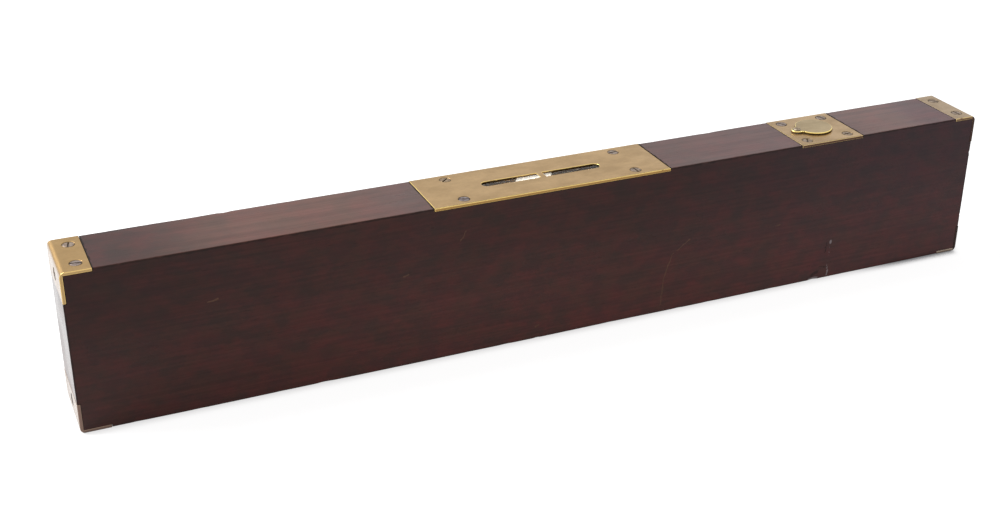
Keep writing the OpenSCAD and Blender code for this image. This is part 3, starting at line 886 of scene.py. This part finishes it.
def ragged_lumps():
    """Small uneven lumps, to be cut out of a corner as chips."""
    shape = bmesh.new()
    for place, size in CHIPS:
        place = Vector(place)
        ball = bmesh.ops.create_icosphere(shape, subdivisions=2, radius=1.0)["verts"]
        for vertex in ball:
            uneven = 1 + 0.4 * noise.noise(vertex.co * 2.1 + place)
            vertex.co = (place + Vector(a * b for a, b in zip(vertex.co, size)) * uneven) * MM
    return mesh_object("chips", shape)


CHAMBER_L = 16.4
CUT_TOP = 90.0
BORE_END = 235.0
BORE_PLAY = 0.05


def bore(node, start, z):
    """A rod that fits round a node and runs out of the right end."""
    low, high = node_box(node)
    radius = (high.y - low.y) / 2 + BORE_PLAY
    length = BORE_END - start
    profile = [(0, 0), (radius, 0), (radius, length), (0, length)]
    return lathe("bore", profile, along_level(start, z))


plate_beds = [plate_bed(node) for node in ("top_plate", "sight_plate")]
tips = ("tip_top_left", "tip_top_right", "tip_bottom_left", "tip_bottom_right")
legs, feet = zip(*map(tip_beds, tips))
bed_low, bed_high = node_box("vial_bed")
block_low, block_high = node_box("mirror_block")
mortise = (bed_low, (bed_high.x, bed_high.y, CUT_TOP))
chamber = (block_low, (block_low.x + CHAMBER_L, block_high.y, CUT_TOP))
for corners in (plate_beds, legs, feet, (mortise, chamber)):
    carve(stock, boxes("beds", corners))
tube_low, tube_high = node_box("sight_tube")
axis_z = (tube_low.z + tube_high.z) / 2
carve(stock, bore("sight_tube", tube_low.x - 1, axis_z))
carve(stock, bore("end_bush", node_box("end_bush")[0].x, axis_z))
carve(stock, ragged_lumps())
shade(stock)
dress(stock, MAHOGANY, "level", "mahogany", "stock")

# %% [markdown]
# ## Where the screws are
# Twenty slotted wood screws hold the brass. The measured model says where each one is and which
# way its slot lies, so both are read from it: every loose part of a screw node is one screw, its
# longest side is its axis, and the points on the floor of its slot lie along the slot.
#
# No two look alike. A table says of each one how much of it is steel, how far it stands up, and
# how dark its countersink is painted, for dirt and shade together.

# %% Reading the screws from the measured model
MIDDLE = (cad_low + cad_high) / 2 / MM
# Share of steel, height above the brass in millimetres, and dirt with painted shade round the
# head, in the order left front, left back, right front, right back, then the end
LOOKS = {
    "top_plate_screws": ((0.95, 0.0, 0.9), (0.1, -0.02, 0.3), (0.45, 0.02, 0.6), (0.6, 0.02, 0.6)),
    "sight_plate_screws": ((0.35, -0.04, 0.5), (0.7, 0.14, 0.9),
                           (0.35, -0.04, 0.5), (0.6, 0.12, 0.9)),
    "tip_top_left_screws": ((0.75, 0.02, 0.6), (0.5, 0.0, 0.6), (0.9, -0.12, 0.95)),
    "tip_top_right_screws": ((0.5, 0.0, 0.5), (0.4, 0.0, 0.35), (0.9, -0.12, 0.6)),
    "tip_bottom_left_screws": ((0.8, -0.12, 0.6), (0.6, -0.12, 0.6), (0.9, -0.12, 0.95)),
    "tip_bottom_right_screws": ((0.7, -0.12, 0.6), (0.9, -0.12, 0.6), (0.5, -0.12, 0.6)),
}


def loose_parts(node):
    """The points of each loose part of a node, in millimetres."""
    shape = welded(node)
    left = set(shape.verts)
    parts = []
    while left:
        found = [left.pop()]
        for vertex in found:
            others = {edge.other_vert(vertex) for edge in vertex.link_edges} & left
            left -= others
            found += others
        parts.append(np.array(sorted(tuple(v.co) for v in found)) / MM)
    shape.free()
    return parts


def read_screw(points):
    """Head centre, outward axis and slot direction of one screw, in millimetres."""
    low, high = points.min(0), points.max(0)
    along = int(np.argmax(high - low))
    side = 1 if (low + high)[along] / 2 > MIDDLE[along] else -1
    axis = np.zeros(3)
    axis[along] = side
    centre = (low + high) / 2
    centre[along] = high[along] if side > 0 else low[along]
    depth = (centre - points) @ axis
    floor = points[(depth > 0.5) & (depth < 0.7)] - centre
    floor = floor - np.outer(floor @ axis, axis)
    slot = np.linalg.svd(floor)[2][0]
    slot *= np.sign(slot[np.abs(slot).argmax()])
    return Vector(centre), Vector(axis), Vector(slot)


def in_order(screw):
    centre, axis, _ = screw
    return abs(axis.x) > 0.5, round(centre.x), round(centre.y)


SCREWS = {node: sorted(map(read_screw, loose_parts(node)), key=in_order) for node in LOOKS}
print("screws:", {node: len(found) for node, found in SCREWS.items()})

# %% [markdown]
# ## The brass let into it
# Plates and tips already have the right outline, holes and countersinks in the measured model.
# Real sheet never has knife edges, and a small round along each one is what catches the light.
# So each piece starts as a copy of its measured node: doubled points are welded, flat faces are
# joined, and every sharp edge gets a narrow bevel. The upper rim of a plate is rubbed rounder
# than the rest, so it is rounded first, and wider.
#
# A gap between a screw and its countersink fills with dirt and lies in shade, so each face of a
# countersink is painted as dark as the table says for its screw: dirt and painted shade together.

# %% Eased copies of measured nodes
def bevel_edges(shape, edges, width, segments):
    return bmesh.ops.bevel(shape, geom=edges, offset=width * MM, offset_type="OFFSET",
                           segments=segments, profile=0.5, affect="EDGES",
                           clamp_overlap=False)["faces"]


def sharp_edges(shape, angle):
    return [edge for edge in shape.edges
            if edge.is_manifold and edge.calc_face_angle() > math.radians(angle)]


def rim_edges(shape, low, high):
    """The edges round the top face that lie on the outline of the piece."""
    def on_outline(edge):
        a, b = (v.co for v in edge.verts)
        return min(a.z, b.z) >= high.z - 0.01 * MM and any(
            max(abs(a[k] - side[k]), abs(b[k] - side[k])) < 0.02 * MM
            for k in (0, 1) for side in (low, high))

    return [edge for edge in shape.edges if on_outline(edge)]


HOLE_R = 3.1


def hole_dirt(node, place):
    """How dark a face of a countersink is painted, for dirt and shade, and 0 for any other face."""
    screws = node + "_screws"
    for (centre, axis, _), look in zip(SCREWS.get(screws, ()), LOOKS.get(screws, ())):
        reach = place / MM - centre
        deep = -reach.dot(axis)
        if 0.05 < deep < 3 and (reach + axis * deep).length < HOLE_R:
            return look[2]
    return 0.0


def eased_copy(node, width, segments=2, angle=28, rubbed=0.0):
    """A copy with rounded edges. Rounds on its outline hold rim = 1, holes their dirt and painted
    shade.
    """
    shape = welded(node)
    bmesh.ops.dissolve_limit(shape, angle_limit=math.radians(0.6), verts=shape.verts,
                             edges=shape.edges)
    low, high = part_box(node)
    rounds = []
    if rubbed:
        rounds += bevel_edges(shape, rim_edges(shape, low, high), rubbed, 4)
    rounds += bevel_edges(shape, sharp_edges(shape, angle), width, segments)
    rim = shape.faces.layers.float.new("rim")
    hole = shape.faces.layers.float.new("hole")
    rounds = {face for face in rounds if face.is_valid}
    for vertex in shape.verts:
        vertex.co = Vector(min(max(v, a), b) for v, a, b in zip(vertex.co, low, high))
    for face in shape.faces:
        middle = face.calc_center_median()
        near = min(middle.x - low.x, high.x - middle.x, middle.y - low.y, high.y - middle.y)
        # How dark this face is painted, for dirt and shade in a countersink
        face[hole] = hole_dirt(node, middle)
        slanted = max(map(abs, face.normal)) < math.cos(math.radians(10))
        in_slot = node == "top_plate" and abs(middle.y) < 3 * MM and middle.z > high.z - width * MM
        outside = near < 0.6 * MM or in_slot or node == "sight_cover"
        # Rims go only on edges that don't face the back, towards the camera, where their gold is a
        # painted highlight as well as wear
        highlight_side = face.normal.y < (-0.15 if node.startswith("tip") else 0.3)
        outside = outside and highlight_side and face[hole] == 0
        face[rim] = float(outside and (slanted or face in rounds))
    piece = mesh_object(node + "_eased", shape)
    shade(piece, angle=50)
    return piece


for node, material, slot, width, rubbed in (
    ("top_plate", PLATE_BRASS, "plate_brass", 0.2, 0.42),
    ("sight_plate", SIGHT_PLATE_BRASS, "plate_brass", 0.2, 0.3),
    ("tip_top_left", TIP_BRASS, "tip_brass", 0.27, 0.0),
    ("tip_top_right", FAR_TIP_BRASS, "tip_brass", 0.25, 0.0),
    ("tip_bottom_left", LOW_TIP_BRASS, "tip_brass", 0.2, 0.0),
    ("tip_bottom_right", FAR_LOW_TIP_BRASS, "tip_brass", 0.2, 0.0),
    ("end_bush", INNER_BRASS, "inner_brass", 0.2, 0.0),
):
    dress(eased_copy(node, width, rubbed=rubbed), material, "level", slot, node)

# %% [markdown]
# ## The screws
# One head is made with care and then copied: a turned body, a slot cut by a boolean, eased
# edges. Each copy is pushed about a little by noise, so that no two slots are bruised alike.

# %% One head, then twenty
HEAD_R = 2.5
SHANK_R = 1.4
SCREW_L = 12.0
SLOT_W = 0.78
SLOT_DEEP = 0.62

profile = [(0, 0.06), (0.9, 0.055), (1.6, 0.03), (2.1, -0.01), (2.4, -0.06), (HEAD_R, -0.14),
           (HEAD_R - 0.04, -0.26), (SHANK_R, -1.45), (SHANK_R, -9.0), (0, -SCREW_L)]
blank = lathe("screw blank", profile, steps=48)
carve(blank, boxes("slot", [((-4, -SLOT_W / 2, -SLOT_DEEP), (4, SLOT_W / 2, 2))]))
shape = bmesh.new()
shape.from_mesh(blank.data)
bpy.data.objects.remove(blank)
lips = [e for e in sharp_edges(shape, 35) if max(v.co.z for v in e.verts) > -1.2 * MM]
rounds = bevel_edges(shape, lips, 0.07, 2)
rim = shape.faces.layers.float.new("rim")
for face in rounds:
    if face.is_valid:
        face[rim] = 1.0
pattern = bpy.data.meshes.new("screw pattern")
shape.to_mesh(pattern)
shape.free()


def bruise(point, seed):
    shove = noise.noise_vector(point * 1.6 + Vector((seed, 0, 0)))
    return point + shove * 0.035 if point.z > -1.0 else point


def build_screws(node):
    shape = bmesh.new()
    steel = shape.verts.layers.float.new("steel")
    for (centre, axis, slot), (share, proud, dirt) in zip(SCREWS[node], LOOKS[node]):
        seed = draw.uniform(0, 90)
        turn = Matrix((slot, axis.cross(slot), axis)).transposed().to_4x4()
        place = Matrix.Translation((centre + axis * proud) * MM) @ turn
        first = len(shape.verts)
        shape.from_mesh(pattern)
        shape.verts.ensure_lookup_table()
        for vertex in shape.verts[first:]:
            vertex.co = place @ (bruise(vertex.co / MM, seed) * MM)
            vertex[steel] = share
    piece = mesh_object(node + "_worn", shape)
    shade(piece, angle=40)
    dress(piece, SCREW_METAL, "level", "screw_metal", node)


for node in LOOKS:
    build_screws(node)
bpy.data.meshes.remove(pattern)

# %% [markdown]
# ## The cover and its pivot
# The cover is thin sheet, filed round and a little dished by use. A copy with a wide bevel gives
# it the rounded lip that shines in the photograph. Its pivot is a small slotted screw with a very
# flat head, and the cover turns on the plain shoulder below that head.

# %% Cover, pivot screw and washer
PIVOT_STEEL = 0.15

cover = eased_copy("sight_cover", 0.34, segments=3)
dress(cover, COVER_BRASS, "cover", "cover_brass", "sight_cover")
pivot = eased_copy("cover_pivot_screw", 0.06)
steel = pivot.data.attributes.new("steel", "FLOAT", "POINT")
steel.data.foreach_set("value", [PIVOT_STEEL] * len(pivot.data.vertices))
dress(pivot, SCREW_METAL, "level", "screw_metal", "cover_pivot_screw")

# %% [markdown]
# ## The vial
# Seen through the slot, the vial is mostly reflections, so its curves have to be smooth: tube
# and spirit are turned afresh with fine steps. The spirit is made a hair larger than the bore,
# which is how a renderer is told that the liquid wets the glass with no air between.
#
# The bubble is a closed skin in the liquid. Its roof follows the bore that it presses against.

# %% Glass, spirit and bubble
VIAL_LOW, VIAL_HIGH = node_box("vial_glass")
VIAL_R = (VIAL_HIGH.z - VIAL_LOW.z) / 2
VIAL_Z = VIAL_HIGH.z - VIAL_R
WALL = 1.0
BORE_R = VIAL_R - WALL
END_R = 3.0


def arc(centre, radius, start, stop, steps):
    turn = [math.radians(start + (stop - start) * k / steps) for k in range(steps + 1)]
    return [(centre[0] + radius * math.cos(a), centre[1] + radius * math.sin(a)) for a in turn]


# The tube and what fills it, both turned about the same line
length = VIAL_HIGH.x - VIAL_LOW.x
inner = END_R - WALL
outer_end = arc((VIAL_R - END_R, END_R), END_R, -90, 0, 10)
inner_end = arc((BORE_R - inner, WALL + inner), inner, 0, -90, 8)
tube = [(0, 0)] + outer_end + [(VIAL_R, length), (BORE_R, length)] + inner_end + [(0, WALL)]
low, high = node_box("vial_spirit")
wet = BORE_R + 0.02
start, stop = low.x - VIAL_LOW.x - 0.07, high.x - VIAL_LOW.x
foot = arc((wet - inner, start + inner), inner, -90, 0, 8)
fill = [(0, start)] + foot + [(wet, stop), (0, stop)]
for name, profile, material, slot, node in (
    ("vial_glass_tube", tube, VIAL_GLASS, "vial_glass", "vial_glass"),
    ("vial_spirit_fill", fill, SPIRIT, "spirit", "vial_spirit"),
):
    piece = lathe(name, profile, along_level(VIAL_LOW.x, VIAL_Z), steps=128)
    shade(piece)
    dress(piece, material, "level", slot, node)

# The bubble, a long drop that lies against the top of the bore
low, high = node_box("vial_bubble")
middle, half = (low + high) / 2, (high - low) / 2
roof_r = high.z - VIAL_Z
along, around = 96, 64
shape = bmesh.new()
rings = []
for i in range(1, along):
    turn = math.pi * i / along
    x = middle.x - half.x * math.cos(turn)
    width = half.y * math.sin(turn) ** 0.62
    deep = 2 * half.z * math.sin(turn) ** 0.5
    ring = []
    for j in range(around):
        angle = 2 * math.pi * j / around
        y = width * math.cos(angle)
        z = math.sqrt(roof_r ** 2 - y ** 2) + VIAL_Z
        if math.sin(angle) < 0:
            z += deep * math.sin(angle) * (1 - 0.25 * abs(math.cos(angle)))
        ring.append(shape.verts.new(Vector((x, y, max(z, low.z))) * MM))
    rings.append(ring)
tips = [[shape.verts.new(Vector((x, 0, high.z - 0.4)) * MM)] for x in (low.x, high.x)]
skin(shape, [tips[0], *rings, tips[1]])
bubble = mesh_object("vial_bubble_skin", shape)
shade(bubble, angle=60, weigh=False)
dress(bubble, BUBBLE, "bubble", "bubble", "vial_bubble")

# %% [markdown]
# ## Nodes that keep their measured shape
# The rest is plain stuff that is right as measured, so those nodes only change their material.

# %% Finishes of the other nodes
for node, material in (
    ("vial_bed", PLASTER),
    ("vial_stopper", CORK),
    ("cover_washer", WASHER_STEEL),
    ("mirror_block", BLOCK_WOOD),
    ("sight_mirror", MIRROR),
    ("sight_tube", INNER_BRASS),
    ("hair_ring", INNER_BRASS),
    ("cross_hairs", HAIR_WIRE),
    ("sight_glass", WINDOW_GLASS),
):
    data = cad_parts[node].data
    data.materials.clear()
    data.materials.append(material)
    print(node, "is", material.name)

# %% [markdown]
# ## Table, lamp and sky
# The level stands on a plain pale table in front of white. The lamp and the sky light it at a
# plain level, so a colour renders about as it is written. White comes from what camera and
# mirror rays are told they see, and not from more light: for those rays the sky is white, and
# the table adds a glow to its own shaded colour, which keeps the soft shadow. That glow fades
# close to the level as a painted contact shadow, most under its right end, where the table's own
# colour is painted darker too.

# %% Table
TABLE_DROP = 0.02
FOOT_REACH = 7.0


def seen_directly():
    """1 for what the eye sees straight, in a mirror or through glass, and 0 for other light."""
    path = put("LightPath")
    return most(path["Is Camera Ray"], most(path["Is Glossy Ray"], path["Is Transmission Ray"]))


def table_top():
    # Painted contact shadow: near the level the glow fades, and under the right end the table's
    # colour darkens
    foot = put("AmbientOcclusion", {"Distance": FOOT_REACH * MM}, samples=8)["AO"]
    along = split(place_on())[0]
    right = times(fade(along, 0.15, 0.205), fade(along, 0.224, 0.231, 1.0, 0.0))
    deep = times(right, fade(foot, 0.5, 0.85, 1.0, 0.0))
    foot = fade(foot, 0.5, 0.95, fade(right, 0.0, 1.0, 0.74, 0.2), 1.0)
    stone = surface(Base_Color=blend(deep, (0.5, 0.5, 0.5), (0.12, 0.12, 0.16)), Roughness=0.9,
                    Specular_IOR_Level=0.0)
    by_eye = put("LightPath")["Is Camera Ray"]
    strength = times(fade(by_eye, 0.0, 1.0, 0.6, 0.86), foot)
    glow = put("Emission", {0: (1, 1, 1), 1: strength})[0]
    pale = put("AddShader", {0: stone, 1: glow})[0]
    return put("MixShader", {0: seen_directly(), 1: stone, 2: pale})[0]


shape = bmesh.new()
bmesh.ops.create_circle(shape, cap_ends=True, segments=96, radius=4.0)
bmesh.ops.translate(shape, verts=shape.verts, vec=(0, 0, -TABLE_DROP * MM))
table = mesh_object("table", shape)
table.data.materials.append(material_of("table", table_top))
table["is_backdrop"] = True

# %% Sky and lamp
SKY = 0.36
LAMP_FROM = Vector((-0.62, 0.42, 0.66)).normalized()
LAMP_FAR = 1.5
LAMP_SIZE = 0.9

world = bpy.data.worlds.new("sky")
scene.world = world
world.use_nodes = True
open_tree(world.node_tree)
strength = fade(seen_directly(), 0.0, 1.0, SKY, 1.0)
put("OutputWorld", {0: put("Background", {0: (1, 1, 1), 1: strength})[0]})
data = bpy.data.lights.new("window", "AREA")
data.shape = "DISK"
data.size = LAMP_SIZE
# A flat lamp of this power gives a full, plain light at the level
data.energy = math.pi ** 2 * LAMP_FAR ** 2
lamp = bpy.data.objects.new("window", data)
scene.collection.objects.link(lamp)
lamp.location = Vector((0, 0, 0.04)) + LAMP_FROM * LAMP_FAR
lamp.rotation_euler = (-LAMP_FROM).to_track_quat("-Z", "Y").to_euler()
lamp.visible_camera = False

scene.view_settings.view_transform = "Standard"

# %% [markdown]
# ## Sizes, and done
# The dressed box is printed in millimetres, as the measured box was at the start.

# %% Print the dressed box and finish
low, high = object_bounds()
print("dressed box in mm:", [round(v / MM, 2) for v in (*low, *high)])
